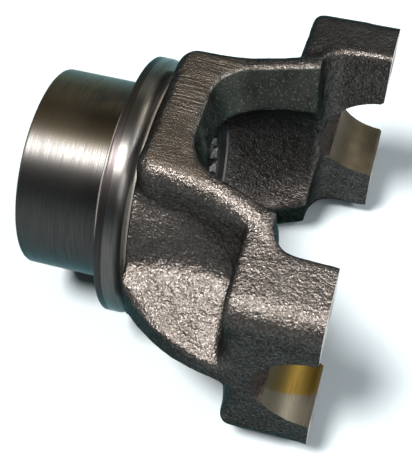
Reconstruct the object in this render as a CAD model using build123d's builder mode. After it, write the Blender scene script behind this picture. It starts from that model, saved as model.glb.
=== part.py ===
"""Forged half-round end yoke: one steel forging with a splined hub and two saddle ears.

Frame: the origin is the joint centre, where the bore axis meets the trunnion axis.
+X runs along the bore from the hub to the ears, Y is the trunnion axis, and +Z is up
with the yoke lying on its side. Millimetres.
"""

from build123d import *
from math import pi, radians, sqrt, tan
import os

# Hub, machined all over
CENTRE_TO_HUB_END = 139.3
HUB_RADIUS = 44.45
HUB_EDGE_ROUND = 1.6
LAND_LENGTH = 39.9
GRIND_GROOVE_FROM_END = 35.5
GRIND_GROOVE_WIDTH = 0.8
GRIND_GROOVE_DEPTH = 0.3

# Collar behind the seal land
COLLAR_RADIUS = 57.6
COLLAR_WIDTH = 10.2
COLLAR_FRONT_CHAMFER = 0.6
COLLAR_REAR_ROUND = 4.2
UNDERCUT_WIDTH = 2.2
UNDERCUT_RADIUS = 51.5

# Splined bore and the nut pocket
SPLINE_TEETH = 24
SPLINE_ROOT_RADIUS = 30.6
SPLINE_TIP_RADIUS = 27.6
SPLINE_GAP_SHARE = 0.6
SPLINE_SIDE_ANGLE = 70.0
SPLINE_OVERLAP = 0.4
BORE_CHAMFER = 2.4
NUT_SEAT_TO_CENTRE = 70.0
NUT_POCKET_RADIUS = 36.5
NUT_POCKET_DEPTH = 3.4
NUT_POCKET_CHAMFER = 0.8

# Cup that carries the arms
CUP_NECK_RADIUS = 54.0
CUP_WAIST_RADIUS = 50.0
CUP_WAIST_TO_CENTRE = 62.0
CUP_EAR_RADIUS = 52.0
FORGING_ROUND = 3.0

# Side plates, with the trimmed flats on top and underneath
PLATE_HALF_HEIGHT = 52.4
PLATE_TAPER = 4.0
PLATE_NOSE_HALF_WIDTH = 36.5
PLATE_NOSE_ROUND = 9.0
PLATE_SHOULDER_HALF_WIDTH = 47.0
PLATE_TAIL_HALF_WIDTH = 57.0
PLATE_TAIL_DROP = 2.9
PLATE_TAIL_TO_CENTRE = 14.0
PLATE_DROP_TO_CENTRE = 29.0
PLATE_DROP_SLOPE = 0.3
PLATE_EDGE_ROUND = 7.5

# Ears
EAR_DEPTH = 38.5
EAR_ROOT = 37.0
EAR_INNER = 52.0
EAR_OUTER = 84.2
EAR_ROOT_HALF_HEIGHT = 53.8
EAR_HALF_HEIGHT = 47.5
EAR_CORNER_ROUND = 11.2
EAR_BACK_ROUND = 4.0

# Rib that braces each ear along its middle
RIB_START = 58.6
RIB_MIDDLE = 75.6
RIB_MIDDLE_TO_CENTRE = 65.0
RIB_CREST_HALF = 5.5
RIB_ROOT_HALF = 15.5
RIB_ROOT_AT = 46.0

# Slot between the arms, its step to the ears and the round pocket
SLOT_CROTCH_TO_CENTRE = 68.8
SLOT_CROTCH_HALF_WIDTH = 25.2
SLOT_CROTCH_ROUND = 22.0
SLOT_MOUTH_HALF_WIDTH = 42.5
SLOT_DRAFT = 16.0
STEP_TO_CENTRE = 24.6
STEP_ROUND = 8.0
GAP_BOTTOM_HALF = 50.6
GAP_DRAFT = 3.5
POCKET_MOUTH_RADIUS = 46.0
POCKET_MIDDLE_RADIUS = 44.0
POCKET_MIDDLE_TO_CENTRE = 48.0
POCKET_FLOOR_RADIUS = 38.0

# Saddles for the bearing caps
SADDLE_RADIUS = 24.6
SADDLE_CHAMFER = 1.2
RELIEF_DEPTH = 1.0
RELIEF_START_ANGLE = 149.0
RELIEF_SPAN_ANGLE = 62.0

# Tapped holes for the cap straps
STRAP_HOLE_RADIUS = 5.7
STRAP_HOLE_DEPTH = 30.0
STRAP_HOLE_CHAMFER = 1.0
STRAP_HOLE_SINK_ANGLE = 90.0
STRAP_HOLE_SPACING = 72.6

OVERRUN = 5.0
QUARTER_TURN = 90.0

hub_end = -CENTRE_TO_HUB_END
collar_front = hub_end + LAND_LENGTH
collar_rear = collar_front + COLLAR_WIDTH
plate_front = collar_rear + UNDERCUT_WIDTH
nut_seat = -NUT_SEAT_TO_CENTRE
pocket_floor = nut_seat + NUT_POCKET_DEPTH
plate_tail_height = PLATE_HALF_HEIGHT - PLATE_TAIL_DROP
plate_drop_height = PLATE_HALF_HEIGHT + PLATE_DROP_TO_CENTRE * tan(radians(PLATE_TAPER))
slot_top = PLATE_HALF_HEIGHT - plate_front * tan(radians(PLATE_TAPER))
groove_front = hub_end + GRIND_GROOVE_FROM_END
saddle_lip = sqrt(SADDLE_RADIUS**2 - SADDLE_CHAMFER**2)
spline_depth = SPLINE_ROOT_RADIUS - SPLINE_TIP_RADIUS + SPLINE_OVERLAP
gap_width = 2 * pi * SPLINE_TIP_RADIUS / SPLINE_TEETH * SPLINE_GAP_SHARE


# Rib that braces each ear: a tapered section, trimmed in plan to its curved crest
with BuildPart() as rib:
    with BuildSketch(Plane.YZ.offset(plate_front)):
        with BuildLine():
            Polyline(
                (0, RIB_ROOT_HALF),
                (RIB_ROOT_AT, RIB_ROOT_HALF),
                (EAR_OUTER, RIB_CREST_HALF),
                (EAR_OUTER, -RIB_CREST_HALF),
                (RIB_ROOT_AT, -RIB_ROOT_HALF),
                (0, -RIB_ROOT_HALF),
                close=True,
            )
        make_face()
    extrude(amount=-EAR_DEPTH - plate_front)
    with BuildSketch(Plane.XY):
        with BuildLine():
            crest = ThreePointArc(
                (plate_front, RIB_START),
                (-RIB_MIDDLE_TO_CENTRE, RIB_MIDDLE),
                (-EAR_DEPTH, EAR_OUTER),
            )
            Polyline(crest @ 1, (-EAR_DEPTH, 0), (plate_front, 0), crest @ 0)
        make_face()
    extrude(amount=RIB_ROOT_HALF, both=True, mode=Mode.INTERSECT)
    mirror(about=Plane.XZ)

# Room between the arms: the drafted U slot, its step out to the ears and the round pocket
with BuildPart() as slot:
    with BuildSketch(Plane.XY.offset(slot_top)):
        with BuildLine():
            Polyline(
                (-SLOT_CROTCH_TO_CENTRE, -SLOT_CROTCH_HALF_WIDTH),
                (-STEP_TO_CENTRE, -SLOT_MOUTH_HALF_WIDTH),
                (OVERRUN, -SLOT_MOUTH_HALF_WIDTH),
                (OVERRUN, SLOT_MOUTH_HALF_WIDTH),
                (-STEP_TO_CENTRE, SLOT_MOUTH_HALF_WIDTH),
                (-SLOT_CROTCH_TO_CENTRE, SLOT_CROTCH_HALF_WIDTH),
                close=True,
            )
        outline = make_face()
        fillet(outline.vertices().group_by(Axis.X)[0], SLOT_CROTCH_ROUND)
    extrude(amount=-slot_top, taper=SLOT_DRAFT)
    mirror(about=Plane.XY)
    with BuildSketch(Plane.XY):
        with BuildLine():
            Polyline(
                (OVERRUN, -EAR_INNER),
                (0, -EAR_INNER),
                (-STEP_TO_CENTRE, -GAP_BOTTOM_HALF),
                (-STEP_TO_CENTRE, GAP_BOTTOM_HALF),
                (0, EAR_INNER),
                (OVERRUN, EAR_INNER),
                close=True,
            )
        gap = make_face()
        fillet(gap.vertices().group_by(Axis.X)[0], STEP_ROUND)
    extrude(amount=slot_top, both=True, taper=-GAP_DRAFT)
    with BuildSketch(Plane.XY):
        with BuildLine():
            pocket_wall = ThreePointArc(
                (pocket_floor, POCKET_FLOOR_RADIUS),
                (-POCKET_MIDDLE_TO_CENTRE, POCKET_MIDDLE_RADIUS),
                (-STEP_TO_CENTRE, POCKET_MOUTH_RADIUS),
            )
            Polyline(
                pocket_wall @ 1,
                (0, POCKET_MOUTH_RADIUS),
                (0, 0),
                (pocket_floor, 0),
                pocket_wall @ 0,
            )
        make_face()
    revolve(axis=Axis.X)

# Side plates: one plan outline on the tapered flat, brought down at its tail onto the ears
with BuildPart() as plates:
    with BuildSketch(Plane.XY.offset(PLATE_HALF_HEIGHT).rotated((0, PLATE_TAPER, 0))):
        with BuildLine():
            nose = Line((plate_front, 0), (plate_front, PLATE_NOSE_HALF_WIDTH - PLATE_NOSE_ROUND))
            corner = TangentArc(
                nose @ 1,
                (plate_front + PLATE_NOSE_ROUND, PLATE_NOSE_HALF_WIDTH),
                tangent=nose % 1,
            )
            flank = TangentArc(
                corner @ 1,
                (-EAR_DEPTH, PLATE_SHOULDER_HALF_WIDTH),
                tangent=corner % 1,
            )
            Polyline(
                flank @ 1,
                (-PLATE_TAIL_TO_CENTRE, PLATE_TAIL_HALF_WIDTH),
                (-PLATE_TAIL_TO_CENTRE, 0),
                nose @ 0,
            )
        make_face()
        mirror(about=Plane.XZ)
    extrude(amount=-PLATE_HALF_HEIGHT - OVERRUN)
    rims = edges().filter_by(lambda edge: edge.center().Z > plate_tail_height)
    fillet(
        rims.filter_by(lambda edge: edge.bounding_box().max.X < -EAR_DEPTH + OVERRUN),
        PLATE_EDGE_ROUND,
    )
    with BuildSketch(Plane.XZ):
        with BuildLine():
            drop = Spline(
                (-PLATE_DROP_TO_CENTRE, plate_drop_height),
                (-PLATE_TAIL_TO_CENTRE, plate_tail_height),
                tangents=((1, -PLATE_DROP_SLOPE), (1, 0)),
            )
            Polyline(
                drop @ 1,
                (OVERRUN, plate_tail_height),
                (OVERRUN, plate_drop_height),
                drop @ 0,
            )
        make_face()
    extrude(amount=PLATE_TAIL_HALF_WIDTH + OVERRUN, both=True, mode=Mode.SUBTRACT)
    split(bisect_by=Plane.XY)
    split(bisect_by=Plane.YZ.offset(plate_front))
    mirror(about=Plane.XY)

# Ears, drafted on top and underneath, with rounded outer corners and back edges
with BuildPart() as ears:
    with BuildSketch(Plane.YZ):
        with BuildLine():
            Polyline(
                (EAR_ROOT, EAR_ROOT_HALF_HEIGHT),
                (EAR_OUTER, EAR_HALF_HEIGHT),
                (EAR_OUTER, -EAR_HALF_HEIGHT),
                (EAR_ROOT, -EAR_ROOT_HALF_HEIGHT),
                close=True,
            )
        ear = make_face()
        fillet(ear.vertices().group_by(Axis.X)[-1], EAR_CORNER_ROUND)
    extrude(amount=-EAR_DEPTH)
    back_rim = edges().group_by(Axis.X)[0].sort_by(Axis.Y)[1:]
    fillet(back_rim, EAR_BACK_ROUND)
    mirror(about=Plane.XZ)

with BuildPart() as yoke:
    add(plates.part)
    add(ears.part)

    # Cup round the pocket, from the undercut to the ears
    with BuildSketch(Plane.XY):
        with BuildLine():
            wall = ThreePointArc(
                (plate_front, CUP_NECK_RADIUS),
                (-CUP_WAIST_TO_CENTRE, CUP_WAIST_RADIUS),
                (-EAR_DEPTH, CUP_EAR_RADIUS),
            )
            Polyline(
                wall @ 1,
                (-STEP_TO_CENTRE, CUP_EAR_RADIUS),
                (-STEP_TO_CENTRE, 0),
                (plate_front, 0),
                wall @ 0,
            )
        make_face()
    revolve(axis=Axis.X)
    add(rib.part)

    # Forging rounds in the hollows round the cup and beside each rib
    hollows = edges().filter_by(Edge.is_interior)
    beside_cup = hollows.filter_by(GeomType.BSPLINE).filter_by(
        lambda edge: edge.center().X < -EAR_DEPTH - FORGING_ROUND and abs(edge.center().Y) > RIB_ROOT_HALF
    )
    beside_ear = hollows.filter_by(GeomType.LINE).filter_by(
        lambda edge: RIB_CREST_HALF < abs(edge.center().Z) < RIB_ROOT_HALF
    )
    fillet(beside_cup + beside_ear, FORGING_ROUND)
    add(slot.part, mode=Mode.SUBTRACT)

    # Hub, grinding groove, collar and undercut in one turned profile
    with BuildSketch(Plane.XY):
        with BuildLine():
            Polyline(
                (hub_end, 0),
                (hub_end, HUB_RADIUS - HUB_EDGE_ROUND),
                (hub_end + HUB_EDGE_ROUND, HUB_RADIUS),
                (groove_front, HUB_RADIUS),
                (groove_front, HUB_RADIUS - GRIND_GROOVE_DEPTH),
                (groove_front + GRIND_GROOVE_WIDTH, HUB_RADIUS - GRIND_GROOVE_DEPTH),
                (groove_front + GRIND_GROOVE_WIDTH, HUB_RADIUS),
                (collar_front, HUB_RADIUS),
                (collar_front, COLLAR_RADIUS - COLLAR_FRONT_CHAMFER),
                (collar_front + COLLAR_FRONT_CHAMFER, COLLAR_RADIUS),
                (collar_rear - COLLAR_REAR_ROUND, COLLAR_RADIUS),
            )
            TangentArc(
                (collar_rear - COLLAR_REAR_ROUND, COLLAR_RADIUS),
                (collar_rear, COLLAR_RADIUS - COLLAR_REAR_ROUND),
                tangent=(1, 0),
            )
            Polyline(
                (collar_rear, COLLAR_RADIUS - COLLAR_REAR_ROUND),
                (collar_rear, UNDERCUT_RADIUS),
                (plate_front, UNDERCUT_RADIUS),
                (plate_front, 0),
                (hub_end, 0),
            )
        make_face()
    revolve(axis=Axis.X)

    # Nut pocket, bore and its chamfers
    with BuildSketch(Plane.XY):
        with BuildLine():
            Polyline(
                (hub_end, 0),
                (hub_end, SPLINE_ROOT_RADIUS + BORE_CHAMFER),
                (hub_end + SPLINE_ROOT_RADIUS + BORE_CHAMFER - SPLINE_TIP_RADIUS, SPLINE_TIP_RADIUS),
                (nut_seat - BORE_CHAMFER, SPLINE_TIP_RADIUS),
                (nut_seat, SPLINE_TIP_RADIUS + BORE_CHAMFER),
                (nut_seat, NUT_POCKET_RADIUS),
                (pocket_floor - NUT_POCKET_CHAMFER, NUT_POCKET_RADIUS),
                (pocket_floor, NUT_POCKET_RADIUS + NUT_POCKET_CHAMFER),
                (pocket_floor, 0),
                close=True,
            )
        make_face()
    revolve(axis=Axis.X, mode=Mode.SUBTRACT)

    # Spline gaps, broached through the hub
    with BuildSketch(Plane.YZ.offset(hub_end)):
        with PolarLocations(SPLINE_ROOT_RADIUS - spline_depth / 2, SPLINE_TEETH):
            Trapezoid(
                gap_width,
                spline_depth,
                SPLINE_SIDE_ANGLE,
                rotation=-QUARTER_TURN,
            )
    extrude(amount=nut_seat - hub_end, mode=Mode.SUBTRACT)

    # Saddles, with the forged relief along the bottom of each and a chamfered mouth
    with BuildSketch(Plane.XZ):
        Circle(SADDLE_RADIUS)
        with BuildLine():
            relief = CenterArc(
                (0, 0),
                SADDLE_RADIUS + RELIEF_DEPTH,
                RELIEF_START_ANGLE,
                RELIEF_SPAN_ANGLE,
            )
            Polyline(relief @ 1, (0, 0), relief @ 0)
        make_face()
        with BuildLine():
            Polyline(
                (0, SADDLE_RADIUS + SADDLE_CHAMFER),
                (-SADDLE_CHAMFER, saddle_lip),
                (-SADDLE_CHAMFER, -saddle_lip),
                (0, -SADDLE_RADIUS - SADDLE_CHAMFER),
                close=True,
            )
        make_face()
    extrude(amount=EAR_OUTER + OVERRUN, both=True, mode=Mode.SUBTRACT)

    # Tapped holes for the cap straps, at their drilled size
    with Locations(Plane.YZ):
        with GridLocations(EAR_INNER + EAR_OUTER, STRAP_HOLE_SPACING, 2, 2):
            CounterSinkHole(
                STRAP_HOLE_RADIUS,
                STRAP_HOLE_RADIUS + STRAP_HOLE_CHAMFER,
                depth=STRAP_HOLE_DEPTH,
                counter_sink_angle=STRAP_HOLE_SINK_ANGLE,
            )

yoke.part.label = "yoke"
os.makedirs("parts", exist_ok=True)
export_step(yoke.part, "parts/yoke.step")
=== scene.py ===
"""Looks of the forged half round end yoke: one forging, then the cuts of the machine shop.

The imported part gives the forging's shape. It gets a machining allowance, is remeshed, its forged
edges are softened and its skin roughened, and the machined faces are cut back to their real places.
The frame is the part's own: origin at the joint centre, +X from the hub to the ears, Y along the
trunnions. Sizes are in millimetres, and are multiplied by MM where Blender takes metres.
"""
import bpy
import bmesh
import math
import numpy as np
from mathutils import Matrix, Vector, noise


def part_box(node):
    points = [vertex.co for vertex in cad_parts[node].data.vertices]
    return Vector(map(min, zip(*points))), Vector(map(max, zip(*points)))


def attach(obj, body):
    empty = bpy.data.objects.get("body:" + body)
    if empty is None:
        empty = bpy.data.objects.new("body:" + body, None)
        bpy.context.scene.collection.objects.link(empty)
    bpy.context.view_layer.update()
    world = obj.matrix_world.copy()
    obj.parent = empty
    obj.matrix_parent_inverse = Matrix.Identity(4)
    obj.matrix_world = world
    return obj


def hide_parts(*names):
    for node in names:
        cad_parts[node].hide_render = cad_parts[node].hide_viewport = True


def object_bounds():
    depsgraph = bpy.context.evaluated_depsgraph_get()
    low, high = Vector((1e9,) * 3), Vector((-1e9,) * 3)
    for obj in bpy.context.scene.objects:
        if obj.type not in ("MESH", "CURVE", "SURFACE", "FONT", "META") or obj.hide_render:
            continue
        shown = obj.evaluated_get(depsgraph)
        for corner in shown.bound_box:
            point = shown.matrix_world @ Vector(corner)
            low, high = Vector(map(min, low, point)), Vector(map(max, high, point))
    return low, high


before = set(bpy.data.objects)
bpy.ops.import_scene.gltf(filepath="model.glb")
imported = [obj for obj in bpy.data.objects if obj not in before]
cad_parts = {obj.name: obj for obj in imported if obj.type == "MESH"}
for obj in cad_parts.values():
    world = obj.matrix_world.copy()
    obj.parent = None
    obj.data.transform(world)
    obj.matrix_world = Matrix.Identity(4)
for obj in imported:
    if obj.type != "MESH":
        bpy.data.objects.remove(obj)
start_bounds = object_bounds()

MM = 0.001
WELD = 0.001 * MM
SLIVER = 0.005 * MM
VOXEL = 1.0

# Machined sizes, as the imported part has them
HUB_END = -139.3
HUB_RADIUS = 44.45
HUB_EDGE_ROUND = 1.6
LAND_END = -99.4
LAND_ROOT_ROUND = 1.0
GRIND_GROOVE = -103.8
GRIND_GROOVE_WIDTH = 0.8
GRIND_GROOVE_DEPTH = 0.3
GRIND_GROOVE_WALL_SHARE = 0.2
COLLAR_RADIUS = 57.6
COLLAR_REAR = -89.2
COLLAR_FRONT_CHAMFER = 0.6
COLLAR_DULL_WIDTH = 3.4
COLLAR_REAR_ROUND = 4.2
UNDERCUT_RADIUS = 51.5
UNDERCUT_CHAMFER = 0.8
PLATE_FRONT = -87.0
PLATE_HALF_HEIGHT = 52.4
PLATE_TAPER = 4.0
SPLINE_TEETH = 24
SPLINE_ROOT_RADIUS = 30.6
SPLINE_TIP_RADIUS = 27.6
SPLINE_ROOT_HALF_ANGLE = 2.0
SPLINE_FLANK_ANGLE = 2.5
BORE_CHAMFER = 2.4
BORE_MOUTH_RADIUS = SPLINE_ROOT_RADIUS + BORE_CHAMFER
NUT_SEAT = -70.0
NUT_POCKET_RADIUS = 36.5
NUT_POCKET_CHAMFER = 0.8
SADDLE_RADIUS = 24.6
SADDLE_CHAMFER = 1.2
RELIEF_DEPTH = 1.0
RELIEF_HALF_ANGLE = 31.0
EAR_OUTER = 84.2
EAR_INNER = 52.0
HOLE_ACROSS = 68.1
HOLE_HEIGHT = 36.3
HOLE_DEPTH = 30.0
HOLE_MOUTH_RADIUS = 6.8
THREAD_TIP_RADIUS = 5.45
THREAD_ROOT_RADIUS = 6.3
THREAD_PITCH = 1.95
THREAD_STOP = 3.0
DRILL_POINT = 2.6

# How the blank differs from the machined part, and how close to the ears' end plane and inner
# faces a vertex is taken to belong to them
END_ALLOWANCE = 6.0
SADDLE_ALLOWANCE = 3.0
END_SLACK = 0.05
EAR_SLACK = 1.0
PLUG_RADIUS = 7.6
PLUG_DEEPER = 3.0
PLUG_SHORTER = 2.0

# The turned core that joins the hub to the cup, its shoulder measured from the plates' front,
# and how far cutters run past the faces they cut
CORE_HOLE_RADIUS = 20.0
CORE_RADIUS = 38.6
CORE_SHOULDER_FROM = 2.0
CORE_SHOULDER_TO = 5.0
CORE_END = -66.5
OVERRUN = 6.0
POCKET_OVERRUN = 5.0
HOLE_OVERRUN = 3.0
SADDLE_OVERRUN = 8.0
TRIM_REACH = 20.0
MILL_REACH = 30.0
BLOCK_HALF_WIDTH = 110.0
BLOCK_HALF_HEIGHT = 90.0

# How fine the turned and bored faces are: points round a ring, steps of the bore's rear chamfer,
# the saddle's arc in degrees from +X and the rings along it, and the least angle of a sharp edge
TURNED_POINTS = 240
PLUG_POINTS = 24
THREAD_POINTS = 30
BORE_CHAMFER_STEP = 0.6
BORE_CHAMFER_STEPS = 9
SADDLE_ARC = np.linspace(93, 267, 59)
SADDLE_RINGS = 121
SHARP_ANGLE = 32

# Softening: how far a vertex moves towards its neighbours at a time, how many times, and the zones
# where that differs, each as least and greatest |z|, then |y|, then x
SOFT_STEP = 0.5
TRIMMED_LESS = 0.38
TURNS_EVERYWHERE = 12
TURNS_INNER_EDGE = 24
TURNS_BESIDE_RIB = 144
TRIMMED_EDGES = ((46, 60), (-1, 47), (-74, -21))
BESIDE_RIB = ((7, 36), (32, 90), (PLATE_FRONT + 2, -30))
INNER_EDGE = ((37, 60), (45, 58), (-28, 10))
ZONE_FADE = 4.0

# Unevenness of the forged skin, and of the forged relief in the saddles
SWELL_HEIGHT = 0.22
SWELL_LENGTH = 11
DIMPLE_HEIGHT = 0.14
DIMPLE_LENGTH = 4.2
BOX_MARGIN = 0.02
RELIEF_HEIGHT = 0.3
RELIEF_LENGTH = 3.5

# Where the trimmed flats and the slot walls are
FLAT_LEAST_NORMAL = 0.93
FLAT_BAND = 1.6
FLAT_END = -58
FLAT_END_WAVE = 3
FLAT_END_WAVE_LENGTH = 9
SLOT_LEAST_HEIGHT = 30
SLOT_HALF_WIDTH = 46
SLOT_FROM = -73
SLOT_TO = -25
SLOT_MOST_NORMAL = 0.6
SLOT_SIDE_SLACK = 0.02

# Painted teal reflection on forging scale and on turned steel, strongest at a shallow angle
SCALE_TEAL_REFLECTION = (0.14, 0.3, 0.32)
STEEL_TEAL_REFLECTION = (0.5, 0.68, 0.71)

# The studio: the key light's width is in degrees, and the sweep's foot and top are the heights of
# a direction of length 1
FLOOR_HALF = 4000
FLOOR_COLOUR = (0.248, 0.28, 0.298)
KEY_FROM = Vector((-0.285, -0.3, 0.91))
KEY_POWER = 12.5
KEY_WIDTH = 17
KEY_COLOUR = (1, 0.965, 0.925)
SWEEP_FOOT = 0.12
SWEEP_TOP = 0.34
SWEEP_PALE = 0.8
SWEEP_DARK = 0.07
SWEEP_COLOUR = (0.84, 0.96, 1, 1)

# The camera, solved from the outlines in the photograph
CAMERA_AT = Vector((14.2, -285.8, 379.8)) * MM
CAMERA_RIGHT = Vector((0.9628, 0.2701, -0.0025))
CAMERA_DOWN = Vector((0.2156, -0.7743, -0.5949))
FOCAL_PIXELS = 1085.5
PHOTO_WIDTH = 412
SENSOR = 36.0


# Materials, each from the object's own coordinates in metres

class Nodes:
    """A short way to write a material's nodes."""

    def __init__(self, name):
        """Starts a material with its shader and the object's own coordinates."""
        self.material = bpy.data.materials.new(name)
        self.material.use_nodes = True
        self.tree = self.material.node_tree
        self.shader = self.tree.nodes["Principled BSDF"]
        self.place = self.tree.nodes.new("ShaderNodeTexCoord").outputs["Object"]

    def link(self, value, socket):
        """Feeds a socket from another one, or sets it to a number or colour."""
        if isinstance(value, bpy.types.NodeSocket):
            self.tree.links.new(value, socket)
        else:
            socket.default_value = value

    def link_colour(self, value, socket):
        """As link, for a colour of three numbers."""
        self.link(value if isinstance(value, bpy.types.NodeSocket) else (*value, 1), socket)

    def scaled(self, scale):
        """The place, stretched by (x, y, z)."""
        node = self.tree.nodes.new("ShaderNodeVectorMath")
        node.operation = "MULTIPLY"
        self.link(self.place, node.inputs[0])
        node.inputs[1].default_value = scale
        return node.outputs[0]

    def part(self, axis):
        """One coordinate of the place."""
        node = self.tree.nodes.new("ShaderNodeSeparateXYZ")
        self.link(self.place, node.inputs[0])
        return node.outputs[axis]

    def noise(self, size, detail, rough, stretch=(1, 1, 1)):
        """Noise whose blobs are about size millimetres across."""
        node = self.tree.nodes.new("ShaderNodeTexNoise")
        self.link(self.scaled(stretch), node.inputs["Vector"])
        node.inputs["Scale"].default_value = 1 / (size * MM)
        node.inputs["Detail"].default_value = detail
        node.inputs["Roughness"].default_value = rough
        return node.outputs["Fac"]

    def cells(self, size, smooth):
        """Rounded cells about size millimetres across, as the distance from their middles."""
        node = self.tree.nodes.new("ShaderNodeTexVoronoi")
        self.link(self.place, node.inputs["Vector"])
        node.feature = "SMOOTH_F1"
        node.inputs["Scale"].default_value = 1 / (size * MM)
        node.inputs["Smoothness"].default_value = smooth
        return node.outputs["Distance"]

    def spread(self, value, low, high, to_low=0.0, to_high=1.0):
        """Maps low to to_low and high to to_high, and stays between the two."""
        node = self.tree.nodes.new("ShaderNodeMapRange")
        self.link(value, node.inputs["Value"])
        node.inputs["From Min"].default_value = low
        node.inputs["From Max"].default_value = high
        node.inputs["To Min"].default_value = to_low
        node.inputs["To Max"].default_value = to_high
        return node.outputs["Result"]

    def math(self, kind, a, b=0.0):
        """One step of arithmetic."""
        node = self.tree.nodes.new("ShaderNodeMath")
        node.operation = kind
        self.link(a, node.inputs[0])
        self.link(b, node.inputs[1])
        return node.outputs[0]

    def add(self, a, b):
        """a + b."""
        return self.math("ADD", a, b)

    def minus(self, a, b):
        """a - b."""
        return self.math("SUBTRACT", a, b)

    def times(self, a, b):
        """a * b."""
        return self.math("MULTIPLY", a, b)

    def mix(self, share, a, b):
        """A colour between a, where share is 0, and b, where it is 1."""
        node = self.tree.nodes.new("ShaderNodeMix")
        node.data_type = "RGBA"
        self.link(share, node.inputs[0])
        self.link_colour(a, node.inputs[6])
        self.link_colour(b, node.inputs[7])
        return node.outputs[2]

    def bump(self, height, depth):
        """A bump of depth millimetres where height goes from 0 to 1."""
        node = self.tree.nodes.new("ShaderNodeBump")
        node.inputs["Strength"].default_value = 1.0
        node.inputs["Distance"].default_value = depth * MM
        self.link(height, node.inputs["Height"])
        return node.outputs[0]

    def finish(self, colour, rough, metal, normal=None, reflection_colour=(1, 1, 1)):
        """Links the shader up; the last colour tints the metal's reflections, most at a shallow
        angle.
        """
        self.link_colour(colour, self.shader.inputs["Base Color"])
        self.link(rough, self.shader.inputs["Roughness"])
        self.link(metal, self.shader.inputs["Metallic"])
        self.shader.inputs["Specular Tint"].default_value = (*reflection_colour, 1)
        if normal is not None:
            self.link(normal, self.shader.inputs["Normal"])
        return self.material


def forged_skin():
    """Shot-blasted forging scale: dark brown-grey with a coarse bright grain."""
    dark = (0.036, 0.031, 0.027)
    light = (0.052, 0.047, 0.043)
    tips = (0.14, 0.127, 0.121)
    n = Nodes("forged_skin")
    grain = n.noise(1.0, detail=3.0, rough=0.65)
    fine = n.cells(0.9, smooth=0.3)
    lumps = n.noise(2.8, detail=2.0, rough=0.5)
    patches = n.noise(14, detail=3.0, rough=0.6)
    height = n.add(n.spread(grain, 0.3, 0.7), n.times(fine, 0.7))
    height = n.add(height, n.times(lumps, 3.2))
    colour = n.mix(n.spread(patches, 0.35, 0.65), dark, light)
    colour = n.mix(n.spread(grain, 0.45, 0.75), colour, tips)
    rough = n.spread(grain, 0.35, 0.68, to_low=0.42, to_high=0.26)
    return n.finish(colour, rough, 1.0, n.bump(height, 0.165), SCALE_TEAL_REFLECTION)


def trimmed_flat():
    """The trimmed flats: dragged lines along the bore over the forging's skin."""
    dark = (0.044, 0.037, 0.03)
    light = (0.07, 0.06, 0.049)
    tips = (0.118, 0.102, 0.087)
    n = Nodes("trimmed_flat")
    lines = n.noise(1.3, detail=1.0, rough=0.5, stretch=(0.06, 1, 0.4))
    grain = n.noise(0.9, detail=3.0, rough=0.65)
    dragged = n.noise(20, detail=2.0, rough=0.5)
    dragged = n.spread(dragged, 0.42, 0.58, to_low=0.2, to_high=1.0)
    lines = n.times(n.spread(lines, 0.35, 0.65), dragged)
    height = n.add(lines, n.times(grain, 2.3))
    colour = n.mix(lines, dark, light)
    colour = n.mix(n.spread(grain, 0.55, 0.75), colour, tips)
    return n.finish(colour, 0.46, 1.0, n.bump(height, 0.2), SCALE_TEAL_REFLECTION)


def slot_wall():
    """The punched slot walls: smoother than the skin, dark green-grey, with a painted highlight at
    the rim.
    """
    dark = (0.024, 0.026, 0.022)
    light = (0.041, 0.042, 0.036)
    flecks = (0.095, 0.095, 0.086)
    # Painted highlight along the rim, its darker and lighter grain
    rim_highlight_dark = (0.13, 0.12, 0.107)
    rim_highlight_light = (0.33, 0.31, 0.285)
    n = Nodes("slot_wall")
    grain = n.noise(1.0, detail=3.0, rough=0.6)
    cloud = n.noise(11, detail=3.0, rough=0.6)
    speck = n.noise(0.95, detail=1.0, rough=0.5)
    rim_highlight_wobble = n.noise(2.2, detail=3.0, rough=0.6)
    colour = n.mix(n.spread(cloud, 0.35, 0.65), dark, light)
    colour = n.mix(n.spread(speck, 0.56, 0.76), colour, flecks)
    # Painted highlight: a light band just under the slot's rim, with an uneven lower edge
    slope = n.times(n.part("X"), math.tan(math.radians(PLATE_TAPER)))
    below_rim = n.minus(PLATE_HALF_HEIGHT * MM, slope)
    below_rim = n.minus(below_rim, n.math("ABSOLUTE", n.part("Z")))
    below_rim = n.add(below_rim, n.times(rim_highlight_wobble, 0.8 * MM))
    rim_highlight = n.mix(n.spread(grain, 0.4, 0.65), rim_highlight_dark, rim_highlight_light)
    colour = n.mix(n.spread(below_rim, 1.9 * MM, 0.9 * MM), colour, rim_highlight)
    return n.finish(colour, 0.44, 1.0, n.bump(grain, 0.16), SCALE_TEAL_REFLECTION)


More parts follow.
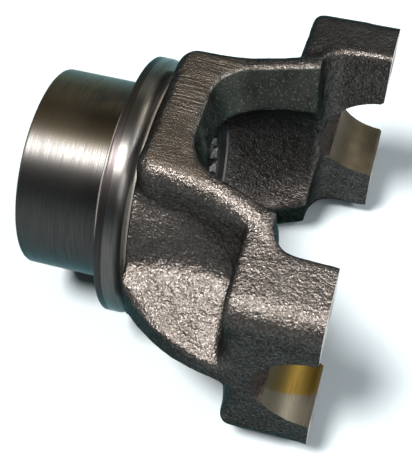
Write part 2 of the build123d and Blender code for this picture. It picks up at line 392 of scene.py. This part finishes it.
def turned(name, dark, light, top_reflection, rough, line=0.35, depth=0.006, metal=1.0):
    """Turned or ground steel, with fine lines round the bore axis.

    A painted reflection in brown patches lies along the upper side. line is about how far the lines
    are apart and depth how deep they are, both in millimetres.
    """
    n = Nodes(name)
    lines = n.noise(line, detail=2.0, rough=0.7, stretch=(1, 0.02, 0.02))
    cloud = n.noise(26, detail=3.0, rough=0.6)
    speck = n.noise(1.0, detail=2.0, rough=0.6)
    # Painted reflection: a brown patchy band on the upper side, fading out towards -Y
    top_reflection_share = n.times(n.spread(cloud, 0.2, 0.5), n.spread(n.part("Y"), -19 * MM, -7 * MM))
    top_reflection_share = n.times(top_reflection_share, n.spread(n.part("Z"), 15 * MM, 40 * MM))
    colour = n.mix(top_reflection_share, light, top_reflection)
    colour = n.mix(n.spread(speck, 0.62, 0.8, to_high=0.5), colour, dark)
    colour = n.mix(n.spread(lines, 0.4, 0.65, to_high=0.5), colour, dark)
    satin = n.spread(lines, 0.3, 0.7, to_low=rough * 0.88, to_high=rough * 1.15)
    around = n.tree.nodes.new("ShaderNodeTangent")
    around.direction_type = "RADIAL"
    around.axis = "X"
    n.link(around.outputs[0], n.shader.inputs["Tangent"])
    n.shader.inputs["Anisotropic"].default_value = 0.8
    n.shader.inputs["Anisotropic Rotation"].default_value = 0.25
    return n.finish(colour, satin, metal, n.bump(lines, depth), STEEL_TEAL_REFLECTION)


def bored_seat():
    """The bored saddle seats: smooth brown-grey, with amber oil on the inner half of the near one."""
    bare_dark = (0.052, 0.041, 0.025)
    bare_light = (0.071, 0.056, 0.036)
    bare_near = (0.067, 0.059, 0.043)
    # The oil as painted shade, towards the hub
    oil_in_painted_shade = (0.041, 0.035, 0.018)
    oil_amber = (0.077, 0.048, 0.007)
    n = Nodes("bored_seat")
    cloud = n.noise(12, detail=3.0, rough=0.6)
    lines = n.noise(0.5, detail=2.0, rough=0.6, stretch=(1, 0.04, 1))
    near = n.spread(n.part("Y"), 0, -20 * MM)
    bare = n.mix(n.spread(cloud, 0.4, 0.6), bare_dark, bare_light)
    bare = n.mix(near, bare, bare_near)
    inwards = n.minus(n.part("Y"), n.times(n.part("X"), 0.45))
    inwards = n.add(inwards, n.times(cloud, 5 * MM))
    oily = n.times(n.spread(inwards, -66 * MM, -64.5 * MM), near)
    # Painted shade: the oil darkens towards the hub, where the seat faces away from the key light
    oil = n.mix(n.spread(n.part("X"), -21 * MM, -12 * MM), oil_in_painted_shade, oil_amber)
    colour = n.mix(oily, bare, oil)
    rough = n.spread(lines, 0.3, 0.7, to_low=0.35, to_high=0.5)
    return n.finish(colour, rough, 0.9, n.bump(lines, 0.02))


def relief_rust_and_painted_shade():
    """The forged relief along the bottom of each saddle: rough and red-brown, made darker as painted
    shade.
    """
    n = Nodes("relief_rust_and_painted_shade")
    grain = n.noise(1.4, detail=3.0, rough=0.65)
    # Red-brown, made darker as painted shade in the recess
    colour = n.mix(n.spread(grain, 0.4, 0.7), (0.012, 0.009, 0.008), (0.05, 0.033, 0.028))
    return n.finish(colour, 0.7, 0.5, n.bump(grain, 0.5), SCALE_TEAL_REFLECTION)


def milled_face():
    """The milled ear ends: bright steel with close cutter lines across."""
    n = Nodes("milled_face")
    lines = n.noise(0.7, detail=2.0, rough=0.6, stretch=(1, 0.05, 1))
    cloud = n.noise(20, detail=3.0, rough=0.6)
    colour = n.mix(n.spread(cloud, 0.4, 0.65), (0.42, 0.4, 0.38), (0.33, 0.29, 0.25))
    rough = n.spread(lines, 0.3, 0.7, to_low=0.3, to_high=0.42)
    return n.finish(colour, rough, 1.0, n.bump(lines, 0.025))


# The last colour of each turned finish below is a painted reflection along its upper side
FINISHES = {
    "skin": forged_skin(),
    "flat": trimmed_flat(),
    "slot_wall": slot_wall(),
    "land": turned(
        "ground_land", rough=0.42,
        dark=(0.032, 0.028, 0.025), light=(0.054, 0.053, 0.052), top_reflection=(0.125, 0.098, 0.056),
    ),
    "collar": turned(
        "turned_collar", rough=0.46, line=0.9, depth=0.05,
        dark=(0.03, 0.026, 0.025), light=(0.046, 0.04, 0.041), top_reflection=(0.05, 0.042, 0.033),
    ),
    "collar_edge": turned(
        "polished_collar", rough=0.36,
        dark=(0.06, 0.056, 0.053), light=(0.105, 0.101, 0.098), top_reflection=(0.12, 0.108, 0.085),
    ),
    "groove": turned(
        "turned_groove", rough=0.5, metal=0.4,
        dark=(0.08, 0.073, 0.066), light=(0.15, 0.138, 0.126), top_reflection=(0.13, 0.115, 0.095),
    ),
    "bore": turned(
        "broached_bore", rough=0.35,
        dark=(0.06, 0.057, 0.055), light=(0.2, 0.195, 0.19), top_reflection=(0.16, 0.145, 0.125),
    ),
    "seat": bored_seat(),
    "relief": relief_rust_and_painted_shade(),
    "milled": milled_face(),
    "thread": turned(
        "cut_thread", rough=0.38,
        dark=(0.1, 0.09, 0.08), light=(0.36, 0.34, 0.32), top_reflection=(0.3, 0.26, 0.2),
    ),
}
MATERIALS = list(FINISHES.values())
SLOT_NUMBER = {name: number for number, name in enumerate(FINISHES)}


# Meshes

def new_object(name, verts, faces, materials, slots=None):
    """A mesh object from points in millimetres, each face with the material that slots gives."""
    mesh = bpy.data.meshes.new(name)
    mesh.from_pydata([tuple(c * MM for c in vert) for vert in verts], [], faces)
    for material in materials:
        mesh.materials.append(material)
    if slots is not None:
        mesh.polygons.foreach_set("material_index", slots)
    obj = bpy.data.objects.new(name, mesh)
    bpy.context.scene.collection.objects.link(obj)
    edit = bmesh.new()
    edit.from_mesh(mesh)
    bmesh.ops.recalc_face_normals(edit, faces=edit.faces)
    edit.to_mesh(mesh)
    edit.free()
    return obj


def rings_mesh(name, rings, finish_at):
    """A closed tube through rings of points, all of one length, with a cap at both ends.

    finish_at(band, side) names the finish of a side face between the rings band and band + 1.
    """
    count = len(rings[0])
    verts = [tuple(point) for ring in rings for point in ring]
    faces = []
    slots = []
    for band in range(len(rings) - 1):
        here = band * count
        there = here + count
        for side in range(count):
            after = (side + 1) % count
            faces.append((here + side, here + after, there + after, there + side))
            slots.append(SLOT_NUMBER[finish_at(band, side)])
    last = (len(rings) - 1) * count
    faces += [tuple(range(count)), tuple(range(last, last + count))]
    slots += [slots[0], slots[-1]]
    return new_object(name, verts, faces, MATERIALS, slots)


def circle_ring(x, radius, count):
    """A ring of points of a circle round the X axis."""
    angles = np.arange(count) * 2 * math.pi / count
    return [(x, radius * math.cos(angle), radius * math.sin(angle)) for angle in angles]


def arc(centre_x, centre_r, radius, start, end, steps):
    """Points (x, r) of an arc in the plane of a turned profile, angles in degrees from +X."""
    angles = np.radians(np.linspace(start, end, steps))
    return [(centre_x + radius * math.cos(a), centre_r + radius * math.sin(a)) for a in angles]


def block(name, x_from, x_to, finish):
    """A plain block across the whole part, to cut a flat face."""
    ys = (-BLOCK_HALF_WIDTH, BLOCK_HALF_WIDTH)
    zs = (-BLOCK_HALF_HEIGHT, BLOCK_HALF_HEIGHT)
    verts = [(x, y, z) for x in (x_from, x_to) for y in ys for z in zs]
    faces = [(0, 1, 3, 2), (4, 6, 7, 5), (0, 4, 5, 1), (2, 3, 7, 6), (0, 2, 6, 4), (1, 5, 7, 3)]
    return new_object(name, verts, faces, MATERIALS, [SLOT_NUMBER[finish]] * len(faces))


def bake(obj):
    """Replaces the object's mesh with what its modifiers make of it."""
    bpy.context.view_layer.update()
    shaped = obj.evaluated_get(bpy.context.evaluated_depsgraph_get())
    mesh = bpy.data.meshes.new_from_object(shaped)
    obj.modifiers.clear()
    old = obj.data
    obj.data = mesh
    bpy.data.meshes.remove(old)


def combine(obj, tool, operation):
    """One boolean step, after which the tool is gone."""
    step = obj.modifiers.new("step", "BOOLEAN")
    step.operation = operation
    step.solver = "MANIFOLD"
    step.object = tool
    bake(obj)
    bpy.data.objects.remove(tool)


def clean(obj):
    """Merges the points that cuts left on top of one another, and drops the slivers between."""
    edit = bmesh.new()
    edit.from_mesh(obj.data)
    bmesh.ops.remove_doubles(edit, verts=edit.verts, dist=SLIVER)
    bmesh.ops.dissolve_degenerate(edit, edges=edit.edges, dist=SLIVER)
    edit.to_mesh(obj.data)
    edit.free()


# The blank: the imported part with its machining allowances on, and a forging's edges and skin

def blank():
    """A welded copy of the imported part, thicker where the machine shop will cut."""
    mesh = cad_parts["yoke"].data.copy()
    edit = bmesh.new()
    edit.from_mesh(mesh)
    bmesh.ops.remove_doubles(edit, verts=edit.verts, dist=WELD)
    for vert in edit.verts:
        x, y, z = vert.co / MM
        reach = math.hypot(x, z)
        in_saddle = reach < SADDLE_RADIUS + RELIEF_DEPTH + SADDLE_CHAMFER
        if in_saddle and abs(y) > EAR_INNER - EAR_SLACK:
            vert.co.x *= (reach - SADDLE_ALLOWANCE) / reach
            vert.co.z *= (reach - SADDLE_ALLOWANCE) / reach
        if x > -END_SLACK:
            vert.co.x += END_ALLOWANCE * MM
    edit.to_mesh(mesh)
    edit.free()
    mesh.materials.clear()
    for material in MATERIALS:
        mesh.materials.append(material)
    mesh.polygons.foreach_set("material_index", [SLOT_NUMBER["skin"]] * len(mesh.polygons))
    obj = bpy.data.objects.new("yoke_forging", mesh)
    bpy.context.scene.collection.objects.link(obj)
    remesh = obj.modifiers.new("remesh", "REMESH")
    remesh.mode = "VOXEL"
    remesh.voxel_size = VOXEL * MM
    bake(obj)
    return obj


def zone(limits, x, y, z):
    """1 inside a zone, falling to 0 over ZONE_FADE millimetres inside each of its limits."""
    share = 1.0
    for values, (low, high) in zip((z, y, x), limits):
        share = share * np.clip(np.minimum(values - low, high - values) / ZONE_FADE, 0, 1)
    return share


def soften(obj):
    """Rounds the forged edges: each vertex moves towards the middle of its neighbours.

    Trimmed edges are rounded less. The hollow beside the rib and the ears' inner edge go on longer.
    """
    mesh = obj.data
    count = len(mesh.vertices)
    co = np.zeros(count * 3)
    mesh.vertices.foreach_get("co", co)
    co = co.reshape(-1, 3)
    edges = np.zeros(len(mesh.edges) * 2, int)
    mesh.edges.foreach_get("vertices", edges)
    a, b = edges.reshape(-1, 2).T
    degree = np.bincount(np.concatenate([a, b]), minlength=count)[:, None]
    x, y, z = (co / MM).T
    y, z = np.abs(y), np.abs(z)
    trimmed = zone(TRIMMED_EDGES, x, y, z)
    beside_rib = zone(BESIDE_RIB, x, y, z)
    inner_edge = zone(INNER_EDGE, x, y, z)
    for turn in range(TURNS_BESIDE_RIB):
        total = np.zeros_like(co)
        for axis in range(3):
            total[:, axis] = np.bincount(a, co[b, axis], count) + np.bincount(b, co[a, axis], count)
        if turn < TURNS_EVERYWHERE:
            weight = SOFT_STEP - TRIMMED_LESS * trimmed
        else:
            weight = SOFT_STEP * np.maximum(beside_rib, inner_edge * (turn < TURNS_INNER_EDGE))
        co += (total / degree - co) * weight[:, None]
    mesh.vertices.foreach_set("co", co.ravel())
    mesh.update()


def roughen(obj):
    """Low swells and small dimples of a forging's skin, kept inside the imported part's box."""
    mesh = obj.data
    co = np.zeros(len(mesh.vertices) * 3)
    normal = np.zeros(len(mesh.vertices) * 3)
    mesh.vertices.foreach_get("co", co)
    mesh.vertices.foreach_get("normal", normal)
    co = co.reshape(-1, 3)
    height = []
    for point in co / MM:
        place = Vector(point)
        swell = SWELL_HEIGHT * noise.noise(place / SWELL_LENGTH)
        height.append(swell + DIMPLE_HEIGHT * noise.noise(place / DIMPLE_LENGTH))
    co += normal.reshape(-1, 3) * np.array(height)[:, None] * MM
    low, high = (np.array(corner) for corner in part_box("yoke"))
    margin = BOX_MARGIN * MM
    co[:, 1:] = np.clip(co[:, 1:], low[1:] + margin, high[1:] - margin)
    mesh.vertices.foreach_set("co", co.ravel())
    mesh.update()


def flat_height(x):
    """Height of the trimmed flats over the mid-plane at a place along the bore."""
    return PLATE_HALF_HEIGHT - x * math.tan(math.radians(PLATE_TAPER))


def on_flat(face):
    """Whether a face is part of the trimmed flats, which end in a wavy line at about FLAT_END."""
    place = face.center / MM
    in_band = abs(place.z) > flat_height(place.x) - FLAT_BAND
    if abs(face.normal.z) <= FLAT_LEAST_NORMAL or not in_band:
        return False
    return place.x < FLAT_END + FLAT_END_WAVE * noise.noise(place / FLAT_END_WAVE_LENGTH)


def on_slot_wall(face):
    """Whether a face is a slot wall: it looks outwards and towards the middle of the slot."""
    x, y, z = face.center / MM
    normal = face.normal
    near_slot = abs(z) > SLOT_LEAST_HEIGHT and abs(y) < SLOT_HALF_WIDTH and SLOT_FROM < x < SLOT_TO
    steep = normal.z * z > 0 and abs(normal.z) < SLOT_MOST_NORMAL
    return near_slot and steep and normal.y * y < SLOT_SIDE_SLACK


def sort_faces(obj):
    """Gives the trimmed flats and the slot walls their own finish."""
    for face in obj.data.polygons:
        if on_flat(face):
            face.material_index = SLOT_NUMBER["flat"]
        elif on_slot_wall(face):
            face.material_index = SLOT_NUMBER["slot_wall"]


# The turned hub, and the cutters

def hub():
    """Hub, grinding groove, collar and undercut, turned round the bore axis, with a core inside."""
    edge = HUB_EDGE_ROUND
    land = [
        (HUB_END, CORE_HOLE_RADIUS),
        (HUB_END, BORE_MOUTH_RADIUS),
        (HUB_END, HUB_RADIUS - edge),
    ]
    land += arc(HUB_END + edge, HUB_RADIUS - edge, edge, 180, 90, steps=6)[1:]
    bottom = HUB_RADIUS - GRIND_GROOVE_DEPTH
    land += [
        (GRIND_GROOVE, HUB_RADIUS),
        (GRIND_GROOVE + GRIND_GROOVE_WIDTH * GRIND_GROOVE_WALL_SHARE, bottom),
        (GRIND_GROOVE + GRIND_GROOVE_WIDTH * (1 - GRIND_GROOVE_WALL_SHARE), bottom),
        (GRIND_GROOVE + GRIND_GROOVE_WIDTH, HUB_RADIUS),
    ]
    root = LAND_ROOT_ROUND
    land += arc(LAND_END - root, HUB_RADIUS + root, root, 270, 360, steps=5)
    front = [
        (LAND_END, COLLAR_RADIUS - COLLAR_FRONT_CHAMFER),
        (LAND_END + COLLAR_FRONT_CHAMFER, COLLAR_RADIUS),
        (LAND_END + COLLAR_DULL_WIDTH, COLLAR_RADIUS),
    ]
    crown = COLLAR_REAR_ROUND
    rear = arc(COLLAR_REAR - crown, COLLAR_RADIUS - crown, crown, 90, 0, steps=11)
    inside = [
        (COLLAR_REAR, UNDERCUT_RADIUS + UNDERCUT_CHAMFER),
        (COLLAR_REAR + UNDERCUT_CHAMFER, UNDERCUT_RADIUS),
        (PLATE_FRONT + CORE_SHOULDER_FROM, UNDERCUT_RADIUS),
        (PLATE_FRONT + CORE_SHOULDER_TO, CORE_RADIUS),
        (CORE_END, CORE_RADIUS),
        (CORE_END, CORE_HOLE_RADIUS),
    ]
    groove_middle = GRIND_GROOVE + GRIND_GROOVE_WIDTH / 2
    finishes = ["groove" if GRIND_GROOVE <= x < groove_middle else "land" for x, _ in land[:-1]]
    finishes += ["collar"] * len(front)
    finishes += ["collar_edge"] * len(rear)
    finishes += ["groove"] * len(inside)
    rings = [circle_ring(x, radius, TURNED_POINTS) for x, radius in land + front + rear + inside]
    return rings_mesh("hub", rings, lambda band, side: finishes[band])


def spline_radius(angle):
    """Wall radius of the splined bore at an angle round it."""
    step = 360 / SPLINE_TEETH
    off = abs((math.degrees(angle) + step / 2) % step - step / 2)
    share = min(max((off - SPLINE_ROOT_HALF_ANGLE) / SPLINE_FLANK_ANGLE, 0), 1)
    return SPLINE_ROOT_RADIUS + (SPLINE_TIP_RADIUS - SPLINE_ROOT_RADIUS) * share


def bore_cutter():
    """Splined bore with both its chamfers, and the nut pocket."""
    mouth = BORE_MOUTH_RADIUS
    rear_depths = np.linspace(BORE_CHAMFER_STEP, mouth - SPLINE_TIP_RADIUS, BORE_CHAMFER_STEPS)
    front_depths = np.linspace(0, BORE_CHAMFER, 5)
    stations = [(HUB_END - OVERRUN, mouth), (HUB_END, mouth)]
    stations += [(HUB_END + depth, mouth - depth) for depth in rear_depths]
    stations += [(NUT_SEAT - BORE_CHAMFER + d, SPLINE_TIP_RADIUS + d) for d in front_depths]
    angles = np.arange(TURNED_POINTS) * 2 * math.pi / TURNED_POINTS
    rings = []
    for x, least in stations:
        radii = [max(spline_radius(angle), least) for angle in angles]
        rings.append([(x, r * math.cos(a), r * math.sin(a)) for r, a in zip(radii, angles)])
    rim = NUT_POCKET_RADIUS + NUT_POCKET_CHAMFER
    for x, radius in (
        (NUT_SEAT, NUT_POCKET_RADIUS),
        (CORE_END - NUT_POCKET_CHAMFER, NUT_POCKET_RADIUS),
        (CORE_END, rim),
        (CORE_END + POCKET_OVERRUN, rim),
    ):
        rings.append(circle_ring(x, radius, TURNED_POINTS))
    return rings_mesh("bore", rings, lambda band, side: "bore")


def saddle_cutter():
    """One boring bar through both ears, with the forged relief and the mouth chamfers."""
    mouth = SADDLE_RADIUS + SADDLE_CHAMFER
    outline = [(SADDLE_OVERRUN, mouth), (0, mouth)]
    finishes = ["milled", "milled"]
    for degrees in SADDLE_ARC:
        in_relief = abs(degrees - 180) < RELIEF_HALF_ANGLE
        radius = SADDLE_RADIUS + (RELIEF_DEPTH if in_relief else 0)
        angle = math.radians(degrees)
        outline.append((radius * math.cos(angle), radius * math.sin(angle)))
        finishes.append("relief" if in_relief else "seat")
    outline += [(0, -mouth), (SADDLE_OVERRUN, -mouth)]
    finishes += ["milled", "milled"]
    rings = []
    for y in np.linspace(-EAR_OUTER - OVERRUN, EAR_OUTER + OVERRUN, SADDLE_RINGS):
        ring = []
        for (x, z), finish in zip(outline, finishes):
            scale = 1
            if finish == "relief":
                place = Vector((x, y, z)) / RELIEF_LENGTH
                scale += RELIEF_HEIGHT * noise.noise(place) / SADDLE_RADIUS
            ring.append((x * scale, y, z * scale))
        rings.append(ring)

    def finish_at(band, side):
        """A face is relief if either of its two edges along the bar is."""
        after = finishes[(side + 1) % len(finishes)]
        return "relief" if after == "relief" else finishes[side]

    return rings_mesh("saddle", rings, finish_at)


def plug(y, z):
    """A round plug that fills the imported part's strap hole before it is cut again."""
    ends = (-HOLE_DEPTH - PLUG_DEEPER, END_ALLOWANCE - PLUG_SHORTER)
    rings = [circle_ring(x, PLUG_RADIUS, PLUG_POINTS) for x in ends]
    obj = rings_mesh("plug", rings, lambda band, side: "skin")
    obj.location = Vector((0, y, z)) * MM
    return obj


def thread_cutter(y, z):
    """A tapped hole: countersunk mouth, helical thread and drill point."""
    count = THREAD_POINTS
    rings = [circle_ring(HOLE_OVERRUN, HOLE_MOUTH_RADIUS + HOLE_OVERRUN, count)]
    depth = 0.0
    while depth < HOLE_DEPTH - THREAD_STOP:
        ring = []
        for side in range(count):
            angle = side * 2 * math.pi / count
            phase = (depth / THREAD_PITCH + side / count) % 1
            height = (THREAD_ROOT_RADIUS - THREAD_TIP_RADIUS) * abs(2 * phase - 1)
            radius = max(THREAD_TIP_RADIUS + height, HOLE_MOUTH_RADIUS - depth)
            ring.append((-depth, radius * math.cos(angle), radius * math.sin(angle)))
        rings.append(ring)
        depth += THREAD_PITCH / 4
    rings.append(circle_ring(-HOLE_DEPTH + DRILL_POINT, THREAD_TIP_RADIUS, count))
    rings.append(circle_ring(-HOLE_DEPTH, THREAD_TIP_RADIUS, count))
    rings.append(circle_ring(-HOLE_DEPTH - DRILL_POINT, 1, count))
    obj = rings_mesh("thread", rings, lambda band, side: "thread")
    obj.location = Vector((0, y, z)) * MM
    return obj


# The yoke: forged, then cut in the order of a machine shop

forging = blank()
soften(forging)
roughen(forging)
sort_faces(forging)
combine(forging, block("hub_trim", HUB_END - TRIM_REACH, PLATE_FRONT, "groove"), "DIFFERENCE")
combine(forging, hub(), "UNION")
combine(forging, bore_cutter(), "DIFFERENCE")
hole_places = [(y, z) for y in (-HOLE_ACROSS, HOLE_ACROSS) for z in (-HOLE_HEIGHT, HOLE_HEIGHT)]
for y, z in hole_places:
    combine(forging, plug(y, z), "UNION")
combine(forging, block("end_mill", 0, MILL_REACH, "milled"), "DIFFERENCE")
combine(forging, saddle_cutter(), "DIFFERENCE")
for y, z in hole_places:
    combine(forging, thread_cutter(y, z), "DIFFERENCE")
clean(forging)
forging.data.polygons.foreach_set("use_smooth", [True] * len(forging.data.polygons))
forging.data.set_sharp_from_angle(angle=math.radians(SHARP_ANGLE))
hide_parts("yoke")
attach(forging, "root")


# Floor, light and camera

def softbox(name, place, target, size, power):
    """A rectangular light of size millimetres that looks from a place towards a target."""
    light = bpy.data.lights.new(name, "AREA")
    light.shape = "RECTANGLE"
    light.size, light.size_y = (side * MM for side in size)
    light.energy = power
    obj = bpy.data.objects.new(name, light)
    obj.location = Vector(place) * MM
    obj.rotation_euler = (Vector(target) - Vector(place)).to_track_quat("-Z", "Y").to_euler()
    bpy.context.scene.collection.objects.link(obj)


def key_light():
    """The main light, far away and soft."""
    light = bpy.data.lights.new("key", "SUN")
    light.energy = KEY_POWER
    light.angle = math.radians(KEY_WIDTH)
    light.color = KEY_COLOUR
    obj = bpy.data.objects.new("key", light)
    obj.rotation_euler = KEY_FROM.to_track_quat("Z", "Y").to_euler()
    bpy.context.scene.collection.objects.link(obj)


def studio_sweep():
    """A studio sweep all round: pale behind the floor and dark overhead."""
    world = bpy.data.worlds.new("studio")
    world.use_nodes = True
    tree = world.node_tree
    background = tree.nodes["Background"]
    direction = tree.nodes.new("ShaderNodeTexCoord")
    split = tree.nodes.new("ShaderNodeSeparateXYZ")
    sweep = tree.nodes.new("ShaderNodeMapRange")
    tree.links.new(direction.outputs["Generated"], split.inputs[0])
    tree.links.new(split.outputs["Z"], sweep.inputs["Value"])
    tree.links.new(sweep.outputs["Result"], background.inputs["Strength"])
    sweep.inputs["From Min"].default_value = SWEEP_FOOT
    sweep.inputs["From Max"].default_value = SWEEP_TOP
    sweep.inputs["To Min"].default_value = SWEEP_PALE
    sweep.inputs["To Max"].default_value = SWEEP_DARK
    background.inputs["Color"].default_value = SWEEP_COLOUR
    bpy.context.scene.world = world


def photo_camera():
    """The camera at the photograph's place."""
    camera = bpy.data.cameras.new("camera")
    camera.sensor_fit = "HORIZONTAL"
    camera.sensor_width = SENSOR
    camera.lens = FOCAL_PIXELS / PHOTO_WIDTH * SENSOR
    obj = bpy.data.objects.new("camera", camera)
    right = CAMERA_RIGHT.normalized()
    back = right.cross(-CAMERA_DOWN).normalized()
    up = back.cross(right)
    turn = Matrix((right, up, back)).transposed().to_4x4()
    obj.matrix_world = Matrix.Translation(CAMERA_AT) @ turn
    bpy.context.scene.collection.objects.link(obj)
    bpy.context.scene.camera = obj


level = start_bounds[0].z / MM
corners = ((-1, -1), (1, -1), (1, 1), (-1, 1))
floor = new_object(
    "floor",
    [(x * FLOOR_HALF, y * FLOOR_HALF, level) for x, y in corners],
    [(0, 1, 2, 3)],
    [Nodes("floor").finish(FLOOR_COLOUR, 0.8, 0.0)],
)

softbox("back", place=(60, 480, 420), target=(-40, 0, 0), size=(700, 300), power=0.6)
softbox("side", place=(360, -20, 380), target=(-60, 0, 0), size=(900, 130), power=5.2)
key_light()
studio_sweep()
bpy.context.scene.view_settings.view_transform = "Standard"
photo_camera()
